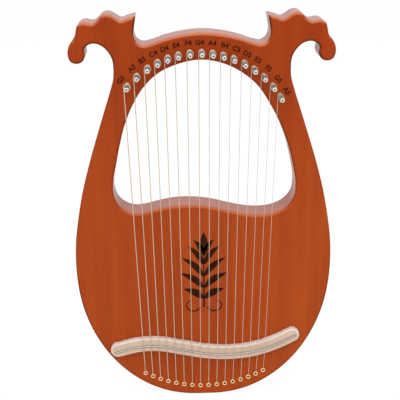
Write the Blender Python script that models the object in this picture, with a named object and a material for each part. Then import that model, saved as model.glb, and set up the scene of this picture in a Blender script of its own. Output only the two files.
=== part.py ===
"""Sixteen-string lyre harp in metres, +Z up, its face towards -Y and its bass side at -X.

The origin is on the centre line, at the height of the tail and half way between the pin heads and the back.
"""

import math

import bmesh
import bpy
from mathutils import Matrix, Vector

# Body
BODY_HEIGHT = 0.410
BODY_WIDTH = 0.2638
BODY_DEPTH = 0.033
FACE_THICKNESS = 0.0035
BACK_THICKNESS = 0.003
EASED_EDGE = 0.0015
GLUE_LINE = 0.0003

# Sound box
RIB_THICKNESS = 0.009
WINDOW_BAR_DEPTH = 0.012
SOUND_HOLE_DIAMETER = 0.040
BRACE_WIDTH = 0.008
BRACE_DEPTH = 0.007

# Tuning pins
PIN_DIAMETER = 0.0052
PIN_PROUD = 0.023
PIN_GRIP_DEPTH = 0.019
PIN_HEAD_LENGTH = 0.0095
PIN_FLATS = 0.0044
PIN_TIP_FLATS = 0.0042
PIN_CLEARANCE = 0.0003

# Strings
BASS_STRING_DIAMETER = 0.0009
TREBLE_STRING_DIAMETER = 0.00045
STRING_HOLE_DIAMETER = 0.0024
BALL_DIAMETER = 0.0040
BALL_LENGTH = 0.0034
BALL_EDGE = 0.6
BALL_POCKET_DIAMETER = 0.0050
BALL_POCKET_DEPTH = 0.007
WINDING_TURNS = 3
WINDING_GAP = 0.00046
WINDING_BASE = 0.0085
STRING_CLEARANCE = 0.0003

# Eyelets
EYELET_DIAMETER = 0.0051
EYELET_BORE = 0.0022
EYELET_BARREL_DIAMETER = 0.0034
EYELET_BARREL_LENGTH = 0.0030
EYELET_FLANGE = 0.0006

# Bridge
BRIDGE_WIDTH = 0.0152
BRIDGE_THICKNESS = 0.0065
BRIDGE_EASED_EDGE = 0.0018
SADDLE_WIRE_DIAMETER = 0.0016
SADDLE_PROUD = 0.0009
SADDLE_OFFSET = 0.0014
SADDLE_END_MARGIN = 0.005

# The drawing of the face, in millimetres on a body of this size. It grows and shrinks with the body.
DRAWN_WIDTH = 263.8
DRAWN_HEIGHT = 410

# Right side from the tail up to the horn's inner tip
FLANK = (
    (0, 0), (20.5, 0.7), (41, 5), (61.7, 14.2), (80.3, 27.5), (97.2, 45.1), (110.7, 65.5), (120.8, 87.5),
    (127.4, 109.8), (130.9, 132.9), (131.9, 157), (130.7, 180.1), (127.2, 204.1), (122.2, 229.7),
    (114.4, 259.2), (105.2, 288.7), (96.8, 314.5), (90.1, 335), (86.6, 348), (86.1, 357), (87.2, 366.9),
    (92.1, 375.5), (98.4, 380.6), (104.3, 382), (109.8, 380.6), (113.3, 376.8), (112.9, 370.3), (115.8, 364.6),
    (121.3, 362.7), (126.9, 364.8), (129.3, 370.9), (128.6, 378.1), (125.9, 383.2), (122.3, 387.6),
    (120.8, 393.3), (119, 399.3), (114.7, 402.2), (104.1, 401.6), (99.5, 404.6), (95.4, 408.8), (91.3, 410),
    (87.5, 409.2), (82.2, 405.9), (78, 403.8), (71, 405.8), (63.5, 407.8),
)

# From below that tip to the middle of the yoke
YOKE_TOP = (
    (64.7, 400), (65.7, 389), (63.5, 383.5), (58, 380.1), (50, 381.3), (37.6, 385.5), (20, 389.6), (0, 391.5),
)

# The window, from its crown round by the treble side
WINDOW = (
    (0, 365.2), (20, 361.4), (38, 352.6), (53, 340.2), (65.7, 321.8), (75.7, 302.9), (84.4, 281), (90.5, 257),
    (93.6, 236), (91.8, 223), (86, 214.8), (76, 208.6), (62, 205.6), (46, 206), (28, 209.6), (8, 214.6),
    (-12, 217), (-30, 216.4), (-46, 213.4), (-60, 210), (-70, 209.3), (-79, 212.3), (-86.3, 218.8),
    (-90.3, 229), (-90.6, 241), (-87, 259.9), (-82.7, 280.4), (-76.8, 301.8), (-69, 320.5), (-57.2, 339.2),
    (-43.3, 352.3), (-24, 361.2),
)
BRIDGE_LINE = (
    (-91.5, 58.2), (-70, 63.3), (-48, 63.9), (-25, 59.5), (5, 53.7), (30, 52.7), (55, 56.1), (78, 64.2),
    (93, 71.8),
)

# Pins stand on an arc about this centre, at these angles from upright, and eyelets lie on an arc round the tail
PIN_ARC_CENTRE = (-3.35, 281.35)
PIN_ARC_RADIUS = 92.4
PIN_ARC_ANGLES = (-49, -40.5, -32.5, -25.5, -19, -12.5, -5.5, 1.5, 8, 14.5, 21, 28, 35, 42.5, 50.5, 58.5)
EYELET_ARC_CENTRE = (0, 139.8)
EYELET_ARC_RADIUS = 128.6
EYELET_STEP_DEGREES = 3.92

# Heights of the joints, the braces and the sound hole
TAIL_BLOCK_TOP = 42
YOKE_JOINT = 296
WINDOW_BAR_END = 76
WINDOW_BAR_ZONE_TOP = 240
CAVITY_SHOULDER_HEIGHT = 183
CAVITY_SHOULDER_REACH = 70
UPPER_BRACE_HEIGHT = 160
LOWER_BRACE_HEIGHT = 92
SOUND_HOLE_HEIGHT = 122

# Smoothness of curves and round pieces
OUTLINE_STEPS = 2
BAND_STEPS = 3
BAND_END_STEPS = 6
CAVITY_TOP_STEPS = 8
HOLE_SIDES = 8
SOUND_HOLE_SIDES = 20
EYELET_SIDES = 8
PIN_SIDES = 8
WINDING_POINTS = 8

# Colours
WOOD = (0.42, 0.095, 0.028)
BRACE_WOOD = (0.70, 0.52, 0.32)
BRIDGE_WOOD = (0.72, 0.60, 0.44)
NICKEL = (0.80, 0.79, 0.77)
GILT = (0.86, 0.62, 0.36)
STEEL = (0.60, 0.60, 0.58)

STRING_COUNT = len(PIN_ARC_ANGLES)
BACK_Y = (BODY_DEPTH + PIN_PROUD) / 2
FRONT_Y = BACK_Y - BODY_DEPTH
CORE_FRONT_Y = FRONT_Y + FACE_THICKNESS + GLUE_LINE
CORE_BACK_Y = BACK_Y - BACK_THICKNESS - GLUE_LINE
STRINGS_Y = FRONT_Y - GLUE_LINE - BRIDGE_THICKNESS - SADDLE_PROUD - STRING_CLEARANCE


def clear_scene():
    for obj in list(bpy.data.objects):
        bpy.data.objects.remove(obj)


def finish(name, colour, roughness, metallic=0.0):
    """A plain material for one sub-part."""
    material = bpy.data.materials.new(name)
    material.use_nodes = True
    shader = material.node_tree.nodes["Principled BSDF"]
    shader.inputs["Base Color"].default_value = (*colour, 1)
    shader.inputs["Roughness"].default_value = roughness
    shader.inputs["Metallic"].default_value = metallic
    return material


def add(name, data, colour=None, roughness=0.5, metallic=0.0):
    """Links a piece to the scene, with its own material if it has a colour."""
    obj = bpy.data.objects.new(name, data)
    bpy.context.scene.collection.objects.link(obj)
    if colour:
        obj.active_material = finish(name, colour, roughness, metallic)
    return obj


def cutter(name, data):
    obj = add(name, data)
    obj.hide_render = True
    obj.display_type = "WIRE"
    return obj


def cut(obj, tool, operation="DIFFERENCE"):
    modifier = obj.modifiers.new(tool.name, "BOOLEAN")
    modifier.operation = operation
    modifier.solver = "EXACT"
    modifier.object = tool


def mesh_of(name, bm):
    bmesh.ops.recalc_face_normals(bm, faces=bm.faces)
    mesh = bpy.data.meshes.new(name)
    bm.to_mesh(mesh)
    bm.free()
    return mesh


def drawn(point):
    """A point of the drawing, as the body's real x and z."""
    return Vector((point[0] * BODY_WIDTH / DRAWN_WIDTH, point[1] * BODY_HEIGHT / DRAWN_HEIGHT))


def drawn_height(level):
    return level * BODY_HEIGHT / DRAWN_HEIGHT


def smooth(points, steps, corners=(), closed=True):
    """A curve through the points, which turns sharply only at the corners and at open ends."""
    count = len(points)
    tangents = []
    for i, point in enumerate(points):
        before, after = points[i - 1], points[(i + 1) % count]
        if i in corners or (not closed and i in (0, count - 1)):
            tangents.append(None)
            continue
        back, ahead = point - before, after - point
        turn = back.normalized() * ahead.length + ahead.normalized() * back.length
        tangents.append(turn.normalized())
    curve = []
    for i in range(count if closed else count - 1):
        start, end = points[i], points[(i + 1) % count]
        reach = (end - start).length / 3
        leave = tangents[i] or (end - start).normalized()
        arrive = tangents[(i + 1) % count] or (end - start).normalized()
        first, second = start + leave * reach, end - arrive * reach
        for k in range(steps):
            t = k / steps
            s = 1 - t
            curve.append(s**3 * start + 3 * s * s * t * first + 3 * s * t * t * second + t**3 * end)
    if not closed:
        curve.append(points[-1].copy())
    return curve


def body_loop():
    right = [drawn(p) for p in FLANK + YOKE_TOP]
    left = [Vector((-p.x, p.y)) for p in reversed(right[1:-1])]
    tip = len(FLANK) - 1
    corners = (tip, 2 * (len(right) - 1) - tip)
    return smooth(right + left, OUTLINE_STEPS, corners)


def window_loop():
    return smooth([drawn(p) for p in WINDOW], OUTLINE_STEPS)


def circle_loop(centre, radius, sides=HOLE_SIDES):
    turn = 2 * math.pi / sides
    return [centre + Vector((math.cos(k * turn), math.sin(k * turn))) * radius for k in range(sides)]


def inset(loop, distance):
    """The closed loop moved into the wood, which is on its left, with its sharp corners kept within reason."""
    moved = []
    for before, point, after in zip(loop[-1:] + loop[:-1], loop, loop[1:] + loop[:1]):
        back, ahead = (point - before).normalized(), (after - point).normalized()
        aside = Vector((-back.y, back.x))
        normal = (aside + Vector((-ahead.y, ahead.x))).normalized()
        moved.append(point + normal * distance / max(0.5, normal.dot(aside)))
    return moved


def crossing(loop, level, axis):
    """Where a closed loop crosses a level of x or z: the other coordinate of each crossing, in order."""
    found = []
    for start, end in zip(loop, loop[1:] + loop[:1]):
        low, high = start[axis], end[axis]
        if (low < level) != (high < level):
            share = (level - low) / (high - low)
            found.append(start[1 - axis] + share * (end[1 - axis] - start[1 - axis]))
    return sorted(found)


def cavity_loop(body, window):
    """The hollow of the sound box, between the ribs, the tail block and the window bar."""
    floor, shoulder = drawn_height(TAIL_BLOCK_TOP), drawn_height(CAVITY_SHOULDER_HEIGHT)
    ribs = [p for p in inset(body, RIB_THICKNESS) if p.x > 0 and floor < p.y < shoulder]
    floor_half = crossing(body, floor, 1)[-1] - RIB_THICKNESS
    right = [Vector((floor_half, floor))] + ribs
    reach = drawn((CAVITY_SHOULDER_REACH, 0)).x
    top = []
    for k in range(CAVITY_TOP_STEPS + 1):
        x = reach * (1 - 2 * k / CAVITY_TOP_STEPS)
        top.append(Vector((x, crossing(window, x, 0)[0] - WINDOW_BAR_DEPTH)))
    left = [Vector((-p.x, p.y)) for p in reversed(right)]
    return right + top + left


def wall(bm, start, loop, y):
    """Runs a wall from a ring of vertices to the loop at another depth, and gives back the new ring."""
    ring = [bm.verts.new((p.x, y, p.y)) for p in loop]
    for k in range(len(loop)):
        bm.faces.new((start[k - 1], start[k], ring[k], ring[k - 1]))
    return ring


def board(name, loops, inner, outer, rims=0, ease=0.0):
    """A flat board between two depths, sawn to its loops. Its first rims are eased at the outer depth."""
    bm = bmesh.new()
    ends = [[], []]
    out = math.copysign(ease, outer - inner)
    for i, loop in enumerate(loops):
        first = [bm.verts.new((p.x, inner, p.y)) for p in loop]
        last = first
        if i < rims:
            last = wall(bm, last, loop, outer - out)
            loop = inset(loop, ease)
        last = wall(bm, last, loop, outer)
        for end, ring in zip(ends, (first, last)):
            end += [bm.edges.get((ring[k - 1], ring[k])) for k in range(len(ring))]
    for end in ends:
        bmesh.ops.triangle_fill(bm, edges=end, use_beauty=True)
    return mesh_of(name, bm)


def block(name, low, high):
    bm = bmesh.new()
    centre = (Vector(low) + Vector(high)) / 2
    size = Vector(high) - Vector(low)
    matrix = Matrix.Translation(centre) @ Matrix.Diagonal((*size, 1))
    bmesh.ops.create_cube(bm, size=1, matrix=matrix)
    return mesh_of(name, bm)


def drills(name, centres, steps, sides=HOLE_SIDES):
    """Drilled holes along Y for a Boolean, each of steps (radius, front, back) that follow one another."""
    bm = bmesh.new()
    for centre in centres:
        rings = []
        for radius, front, back in steps:
            for y in (front, back):
                ring = [bm.verts.new((p.x, y, p.y)) for p in circle_loop(centre, radius, sides)]
                rings.append(ring)
        for first, second in zip(rings, rings[1:]):
            for k in range(sides):
                bm.faces.new((first[k - 1], first[k], second[k], second[k - 1]))
        bm.faces.new(rings[0])
        bm.faces.new(rings[-1])
    return mesh_of(name, bm)


def arc_points(centre, radius, degrees):
    """Points of a drawn arc, at angles from upright, as real x and z."""
    angles = [math.radians(a) for a in degrees]
    return [drawn((centre[0] + radius * math.sin(a), centre[1] + radius * math.cos(a))) for a in angles]


def pin_centres():
    return arc_points(PIN_ARC_CENTRE, PIN_ARC_RADIUS, PIN_ARC_ANGLES)


def eyelet_centres():
    middle = (STRING_COUNT - 1) / 2
    angles = [180 - EYELET_STEP_DEGREES * (i - middle) for i in range(STRING_COUNT)]
    return arc_points(EYELET_ARC_CENTRE, EYELET_ARC_RADIUS, angles)


def make_boards(body, window, pins, eyelets):
    pin_holes = [circle_loop(c, PIN_DIAMETER / 2 + PIN_CLEARANCE) for c in pins]
    string_holes = [circle_loop(c, EYELET_BARREL_DIAMETER / 2 + GLUE_LINE) for c in eyelets]
    loops = [body, window] + pin_holes + string_holes
    face = board("soundboard", loops, FRONT_Y + FACE_THICKNESS, FRONT_Y, 2, EASED_EDGE)
    add("soundboard", face, WOOD, 0.3)

    pockets = [circle_loop(c, BALL_POCKET_DIAMETER / 2) for c in eyelets]
    sound_hole = circle_loop(drawn((0, SOUND_HOLE_HEIGHT)), SOUND_HOLE_DIAMETER / 2, SOUND_HOLE_SIDES)
    loops = [body, window, sound_hole] + pockets
    back = board("back_board", loops, BACK_Y - BACK_THICKNESS, BACK_Y, 2, EASED_EDGE)
    add("back_board", back, WOOD, 0.3)


def make_core(body, window, cavity, pins, eyelets):
    """The solid wood between the boards: the yoke, the two sides, the window bar and the tail block."""
    wide, high = BODY_WIDTH, 2 * BODY_HEIGHT
    gap = GLUE_LINE / 2
    bar_end, bar_top = drawn((WINDOW_BAR_END, WINDOW_BAR_ZONE_TOP))
    tail, yoke = drawn_height(TAIL_BLOCK_TOP), drawn_height(YOKE_JOINT)
    zones = {
        "yoke_block": ((-wide, yoke + gap), (wide, high)),
        "left_side": ((-wide, tail + gap), (0, yoke - gap)),
        "right_side": ((0, tail + gap), (wide, yoke - gap)),
        "window_bar": ((gap - bar_end, tail + gap), (bar_end - gap, bar_top)),
        "tail_block": ((-wide, -high), (wide, tail - gap)),
    }
    pieces = {}
    for name, (low, top) in zones.items():
        hollow = [] if name == "tail_block" else [cavity]
        piece = add(name, board(name, [body, window] + hollow, CORE_FRONT_Y, CORE_BACK_Y), WOOD, 0.35)
        zone = block(name + "_zone", (low[0], -BODY_DEPTH, low[1]), (top[0], 2 * BODY_DEPTH, top[1]))
        cut(piece, cutter(name + "_zone", zone), "INTERSECT")
        pieces[name] = piece
    bar = block("bar_space", (-bar_end - gap, -BODY_DEPTH, tail), (bar_end + gap, 2 * BODY_DEPTH, bar_top))
    bar_space = cutter("bar_space", bar)
    cut(pieces["left_side"], bar_space)
    cut(pieces["right_side"], bar_space)
    pin_end = FRONT_Y + PIN_GRIP_DEPTH + PIN_CLEARANCE
    pin_bore = [(PIN_DIAMETER / 2 + PIN_CLEARANCE, FRONT_Y, pin_end)]
    cut(pieces["yoke_block"], cutter("pin_drills", drills("pin_drills", pins, pin_bore)))
    pocket = BACK_Y - BALL_POCKET_DEPTH
    string_bore = [
        (STRING_HOLE_DIAMETER / 2, FRONT_Y, pocket),
        (BALL_POCKET_DIAMETER / 2, pocket, BACK_Y),
    ]
    cut(pieces["tail_block"], cutter("string_drills", drills("string_drills", eyelets, string_bore)))


def make_braces(cavity):
    braces = {
        "upper_face_brace": (UPPER_BRACE_HEIGHT, CORE_FRONT_Y, CORE_FRONT_Y + BRACE_DEPTH),
        "lower_face_brace": (LOWER_BRACE_HEIGHT, CORE_FRONT_Y, CORE_FRONT_Y + BRACE_DEPTH),
        "back_brace": (UPPER_BRACE_HEIGHT, CORE_BACK_Y - BRACE_DEPTH, CORE_BACK_Y),
    }
    for name, (level, front, back) in braces.items():
        low, high = drawn_height(level) - BRACE_WIDTH / 2, drawn_height(level) + BRACE_WIDTH / 2
        half = min(crossing(cavity, low, 1)[-1], crossing(cavity, high, 1)[-1]) - GLUE_LINE
        add(name, block(name, (-half, front, low), (half, back, high)), BRACE_WOOD, 0.6)


def bridge_line():
    return smooth([drawn(p) for p in BRIDGE_LINE], BAND_STEPS, closed=False)


def beside(line, distance):
    """The line moved sideways, towards the tail where the distance is negative."""
    moved = []
    for i, point in enumerate(line):
        along = (line[min(i + 1, len(line) - 1)] - line[max(i - 1, 0)]).normalized()
        moved.append(point + Vector((-along.y, along.x)) * distance)
    return moved


def band_loop(line, width):
    """A band of even width with round ends."""
    upper, lower = beside(line, width / 2), beside(line, -width / 2)
    ends = []
    for tip, edge in ((line[-1], lower[-1]), (line[0], upper[0])):
        arm = edge - tip
        turns = [math.pi * k / BAND_END_STEPS for k in range(1, BAND_END_STEPS)]
        ends.append([tip + Matrix.Rotation(a, 2) @ arm for a in turns])
    return lower + ends[0] + upper[::-1] + ends[1]


def saddle_line(line):
    return beside(line, -SADDLE_OFFSET)


def tube(name, points, radius, resolution, widths=None):
    """A round wire along the points, with filled ends. The widths are shares of its radius, point by point."""
    curve = bpy.data.curves.new(name, "CURVE")
    curve.dimensions = "3D"
    curve.bevel_depth = radius
    curve.bevel_resolution = resolution
    curve.use_fill_caps = True
    spline = curve.splines.new("POLY")
    spline.points.add(len(points) - 1)
    for i, point in enumerate(points):
        spline.points[i].co = (*point, 1)
        spline.points[i].radius = widths[i] if widths else 1
    return curve


def make_bridge():
    line = bridge_line()
    top = FRONT_Y - GLUE_LINE - BRIDGE_THICKNESS
    bar = board("bridge", [band_loop(line, BRIDGE_WIDTH)], FRONT_Y - GLUE_LINE, top, 1, BRIDGE_EASED_EDGE)
    bridge = add("bridge", bar, BRIDGE_WOOD, 0.45)
    wire = saddle_line(line)
    reach = BRIDGE_WIDTH / 2 - SADDLE_END_MARGIN
    wire[0] += (wire[0] - wire[1]).normalized() * reach
    wire[-1] += (wire[-1] - wire[-2]).normalized() * reach
    radius = SADDLE_WIRE_DIAMETER / 2
    axis_y = top - SADDLE_PROUD + radius
    groove_floor = axis_y + radius + GLUE_LINE
    slot = band_loop(wire, SADDLE_WIRE_DIAMETER + 2 * GLUE_LINE)
    cut(bridge, cutter("saddle_groove", board("saddle_groove", [slot], top - SADDLE_PROUD, groove_floor)))
    rod = tube("saddle_wire", [(p.x, axis_y, p.y) for p in wire], radius, 1)
    add("saddle_wire", rod, STEEL, 0.3, 1.0)
    return line


def eyelet_mesh():
    """A turned brass eyelet: a rolled flange and a barrel, its face plane at y = 0."""
    bore, barrel, flange = EYELET_BORE / 2, EYELET_BARREL_DIAMETER / 2, EYELET_DIAMETER / 2
    seat = -GLUE_LINE
    face = seat - EYELET_FLANGE
    profile = (
        (bore, face),
        (flange - EYELET_FLANGE, face),
        (flange, seat),
        (barrel, seat),
        (barrel, EYELET_BARREL_LENGTH),
        (bore, EYELET_BARREL_LENGTH),
    )
    bm = bmesh.new()
    verts = [bm.verts.new((r, y, 0)) for r, y in profile]
    edges = [bm.edges.new(pair) for pair in zip(verts, verts[1:] + verts[:1])]
    bmesh.ops.spin(
        bm,
        geom=verts + edges,
        cent=(0, 0, 0),
        axis=(0, 1, 0),
        angle=2 * math.pi,
        steps=EYELET_SIDES,
        use_merge=True,
    )
    mesh = mesh_of("eyelet", bm)
    mesh.shade_smooth()
    return mesh


def pin_mesh():
    """A tuning pin along Y, the board's face at y = 0: a round shank and a squared head with a centre mark."""
    radius, flats, tip = PIN_DIAMETER / 2, PIN_FLATS / 2, PIN_TIP_FLATS / 2
    shoulder = -PIN_PROUD + PIN_HEAD_LENGTH
    sections = (
        (PIN_GRIP_DEPTH - radius / 2, radius, radius),
        (shoulder, radius, radius),
        (shoulder - radius / 3, radius, flats),
        (-PIN_PROUD + radius / 4, radius, tip),
        (-PIN_PROUD, tip * 0.75, tip),
        (-PIN_PROUD, tip * 0.4, tip),
        (-PIN_PROUD + tip * 0.4, tip * 0.1, tip),
    )
    bm = bmesh.new()
    turn = Matrix.Rotation(math.pi / 2, 4, "X")
    start = Matrix.Translation((0, PIN_GRIP_DEPTH, 0)) @ turn
    bmesh.ops.create_circle(bm, cap_ends=True, segments=PIN_SIDES, radius=radius * 0.7, matrix=start)
    grown = bmesh.ops.extrude_face_region(bm, geom=bm.faces[:])["geom"]
    head = [item for item in grown if isinstance(item, bmesh.types.BMFace)]
    for i, (y, round_radius, half_flats) in enumerate(sections):
        if i > 0:
            head = bmesh.ops.extrude_discrete_faces(bm, faces=head)["faces"]
        for vert in head[0].verts:
            outward = Vector((vert.co.x, 0, vert.co.z)).normalized()
            reach = min(round_radius, half_flats / max(abs(outward.x), abs(outward.z)))
            vert.co = outward * reach + Vector((0, y, 0))
    mesh = mesh_of("tuning_pin", bm)
    mesh.shade_smooth()
    mesh.set_sharp_from_angle(angle=math.radians(35))
    return mesh


def string_diameter(i):
    share = i / (STRING_COUNT - 1)
    return BASS_STRING_DIAMETER + share * (TREBLE_STRING_DIAMETER - BASS_STRING_DIAMETER)


def line_crossing(start, end, line):
    """Where the straight run from start to end crosses a drawn line."""
    run = end - start
    for first, second in zip(line, line[1:]):
        step = second - first
        area = run.x * step.y - run.y * step.x
        away = first - start
        share = (away.x * run.y - away.y * run.x) / area
        if 0 <= share <= 1:
            return first + step * share
    raise ValueError("a string misses the saddle")


def string_route(i, eyelet, pin, saddle):
    """Centre points and widths of one string: ball end, hole, eyelet, saddle wire, then turns round the pin."""
    radius = string_diameter(i) / 2
    ball = BALL_DIAMETER / 2 / radius
    seat = BACK_Y - BALL_POCKET_DEPTH + GLUE_LINE
    points, widths = [], []
    for y, width in (
        (seat + BALL_LENGTH, ball * BALL_EDGE),
        (seat + BALL_LENGTH * 0.8, ball),
        (seat + BALL_LENGTH * 0.2, ball),
        (seat, ball * BALL_EDGE),
        (seat - radius, 1),
    ):
        points.append(Vector((eyelet.x, y, eyelet.y)))
        widths.append(width)
    coil = PIN_DIAMETER / 2 + PIN_CLEARANCE + radius
    away = pin - eyelet
    lean = math.asin(coil / away.length)
    heading = Matrix.Rotation(lean, 2) @ away.normalized()
    touch = eyelet + heading * math.sqrt(away.length**2 - coil**2)
    over = line_crossing(eyelet, touch, saddle)
    rim = FRONT_Y - GLUE_LINE - EYELET_FLANGE
    bend = EYELET_BORE / 2
    for ahead, lift in ((0, 0), (0.2, 0.8), (0.9, 1.35)):
        at = eyelet + heading * bend * ahead
        points.append(Vector((at.x, rim - bend * lift, at.y)))
        widths.append(1)
    over_y = STRINGS_Y - radius
    for along, drop in ((-SADDLE_WIRE_DIAMETER / 2, 0.12), (0, 0), (SADDLE_WIRE_DIAMETER / 2, 0)):
        at = over + heading * along
        points.append(Vector((at.x, over_y + drop * SADDLE_WIRE_DIAMETER / 2, at.y)))
        widths.append(1)
    start_angle = math.atan2(touch.y - pin.y, touch.x - pin.x)
    pitch = 2 * radius + WINDING_GAP
    base_y = FRONT_Y - WINDING_BASE
    for k in range(WINDING_TURNS * WINDING_POINTS + 1):
        turns = k / WINDING_POINTS
        angle = start_angle - 2 * math.pi * turns
        aside, up = coil * math.cos(angle), coil * math.sin(angle)
        points.append(Vector((pin.x + aside, base_y - pitch * turns, pin.y + up)))
        widths.append(1)
    return points, widths


def least_gap(points, radius):
    """The least clear distance between turns of a winding, at points half a turn or more apart."""
    least = math.inf
    turns = points[-WINDING_TURNS * WINDING_POINTS - 1 :]
    for i, first in enumerate(turns):
        for j in range(i + WINDING_POINTS // 2, len(turns) - 1):
            start, end = turns[j], turns[j + 1]
            step = end - start
            share = min(1, max(0, (first - start).dot(step) / step.length_squared))
            least = min(least, (start + step * share - first).length - 2 * radius)
    return least


def make_strings(pins, eyelets, line):
    saddle = saddle_line(line)
    gaps = []
    for i, (pin, eyelet) in enumerate(zip(pins, eyelets)):
        radius = string_diameter(i) / 2
        points, widths = string_route(i, eyelet, pin, saddle)
        gaps.append(least_gap(points, radius))
        name = f"string_{i + 1:02d}"
        add(name, tube(name, points, radius, 1, widths), STEEL, 0.3, 1.0)
    print(f"least gap between turns: {1000 * min(gaps):.2f} mm")


def make_row(name, mesh, centres, colour, roughness):
    """Sixteen like pieces that share one mesh, each with its origin on its own axis in the face plane."""
    for i, centre in enumerate(centres):
        piece = add(f"{name}_{i + 1:02d}", mesh)
        piece.location = (centre.x, FRONT_Y, centre.y)
    mesh.materials.append(finish(name, colour, roughness, 1.0))


def main():
    clear_scene()
    body, window = body_loop(), window_loop()
    cavity = cavity_loop(body, window)
    pins, eyelets = pin_centres(), eyelet_centres()
    make_boards(body, window, pins, eyelets)
    make_core(body, window, cavity, pins, eyelets)
    make_braces(cavity)
    line = make_bridge()
    make_row("tuning_pin", pin_mesh(), pins, NICKEL, 0.22)
    make_row("eyelet", eyelet_mesh(), eyelets, GILT, 0.3)
    make_strings(pins, eyelets, line)


main()
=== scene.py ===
import math

import bmesh
import bpy
from mathutils import Matrix, Vector


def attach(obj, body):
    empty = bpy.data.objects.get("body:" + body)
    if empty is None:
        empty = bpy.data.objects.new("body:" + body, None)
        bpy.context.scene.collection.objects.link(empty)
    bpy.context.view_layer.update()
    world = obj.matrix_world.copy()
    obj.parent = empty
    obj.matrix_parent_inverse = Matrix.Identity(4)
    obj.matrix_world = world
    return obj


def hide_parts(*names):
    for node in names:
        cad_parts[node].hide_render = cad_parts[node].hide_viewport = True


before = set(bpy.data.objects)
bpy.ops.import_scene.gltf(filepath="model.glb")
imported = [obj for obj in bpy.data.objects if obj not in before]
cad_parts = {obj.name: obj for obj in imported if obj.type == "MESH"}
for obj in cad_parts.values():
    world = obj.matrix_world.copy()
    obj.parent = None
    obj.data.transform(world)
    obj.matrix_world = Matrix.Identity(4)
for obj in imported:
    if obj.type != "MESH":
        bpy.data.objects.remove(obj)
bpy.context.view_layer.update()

# Body, in metres, as in the solids
FRONT_Y = -0.005
BACK_Y = 0.028
FACE_THICKNESS = 0.0035
BACK_THICKNESS = 0.003
FACE_ROUNDING = 0.0033
BACK_ROUNDING = 0.0028
RIB_THICKNESS = 0.009
TAIL_BLOCK_HEIGHT = 0.042
CAVITY_SHOULDER_HEIGHT = 0.183
CAVITY_SHOULDER_REACH = 0.070
WINDOW_BAR_DEPTH = 0.012
WINDOW_BAR_END = 0.076
YOKE_JOINT_HEIGHT = 0.296
SOUND_HOLE_CENTRE = (0.0, 0.122)
SOUND_HOLE_RADIUS = 0.020
GLUE_LINE = 0.0003

# Tuning pins. The end and its centre mark are (radius, depth) points from the tip, the mark's radii as
# shares. Each pin is turned a little further than the one before it.
PIN_RADIUS = 0.0026
PIN_PROUD = 0.023
PIN_GRIP_DEPTH = 0.019
PIN_HEAD_LENGTH = 0.0095
PIN_HEAD_HALF = (0.0022, 0.0021)
PIN_SHOULDER = 0.0006
PIN_CHAMFER = (0.0010, 0.0012)
PIN_END_ROUNDING = (
    (0.00258, 0.0013), (0.00235, 0.0007), (0.00215, 0.00035), (0.00192, 0.0001), (0.00165, 0), (0.00095, 0),
)
PIN_MARK_RADIUS = 0.0008
PIN_MARK_SHAPE = ((1, 0.0001), (0.8, 0.0013), (0, 0.0016))
PIN_TURN_DEGREES = 37
PIN_BRIGHT_END = 0.0016
# Depths where the shank takes a painted highlight next to the wood
PIN_ROOT_HIGHLIGHT = (FRONT_Y - 0.0045, FRONT_Y - 0.0025)
PIN_HOLE_RADIUS = 0.0029
PIN_RIM_RADIUS = 0.00265
PIN_ARC_CENTRE = (-0.00335, 0.28135)
PIN_ARC_RADIUS = 0.0924
PIN_ARC_ANGLES = (-49, -40.5, -32.5, -25.5, -19, -12.5, -5.5, 1.5, 8, 14.5, 21, 28, 35, 42.5, 50.5, 58.5)

# Eyelets and the holes for the strings
EYELET_ARC_CENTRE = (0, 0.1398)
EYELET_ARC_RADIUS = 0.1286
EYELET_STEP_DEGREES = 3.92
EYELET_BORE_RADIUS = 0.0012
EYELET_RIM_RADIUS = 0.00255
EYELET_LIFT = 0.00005
EYELET_RISE = 0.00075
EYELET_BARREL_RADIUS = 0.0017
EYELET_BARREL_LENGTH = 0.003
EYELET_SHADE_FROM = 0.0001
EYELET_SEAT_RADIUS = 0.0020
STRING_HOLE_RADIUS = 0.0012
BALL_POCKET_RADIUS = 0.0025

# Bridge
BRIDGE_TOP = FRONT_Y - 0.0068
BRIDGE_WIDTH = 0.0152
BRIDGE_ROUNDING = 0.0020
SADDLE_RADIUS = 0.0008
SADDLE_PROUD = 0.0009
SADDLE_OFFSET = 0.0014
SADDLE_END_MARGIN = 0.005
GROOVE_GAP = 0.0005
GROOVE_DEPTH = 0.0009

# Strings. Half of a ball end is (radius, depth) points from its waist. A string leans in its hole by shares
# of the room there, at depths under the face, then bends over the eyelet's rim and over the saddle wire. Its
# run ends half a turn round the pin. Its coil turns with the pin and starts inside that half turn.
WOUND_STRINGS = 8
BASS_STRING_RADIUS = 0.00045
TREBLE_STRING_RADIUS = 0.000225
BALL_CENTRE_Y = BACK_Y - 0.0047
BALL_HALF = ((0.0004, 0.0017), (0.0015, 0.0017), (0.0020, 0.0012), (0.0020, 0.0005), (0.0017, 0.0003))
HOLE_LEAN = ((0, 0.0042), (0.8, 0.0008))
RIM_BEND_RADIUS = 0.0011
RIM_BEND_LIFT = 0.0004
RIM_BEND_DEGREES = 81
SADDLE_BEND_DEGREES = (-8, 0, 4)
WINDING_BASE = 0.0085
WINDING_TURNS = 3
WINDING_GAP = 0.00046
WINDING_STEPS = 28
PIN_CLEARANCE = 0.00005
RUN_TURNS = 0.5
COIL_FROM_TURN = 0.25
COIL_START_SHARE = 0.9
COIL_END_SHARES = (0.94, 0.75, 0.45)
COIL_END_SLANT = 0.1

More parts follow.
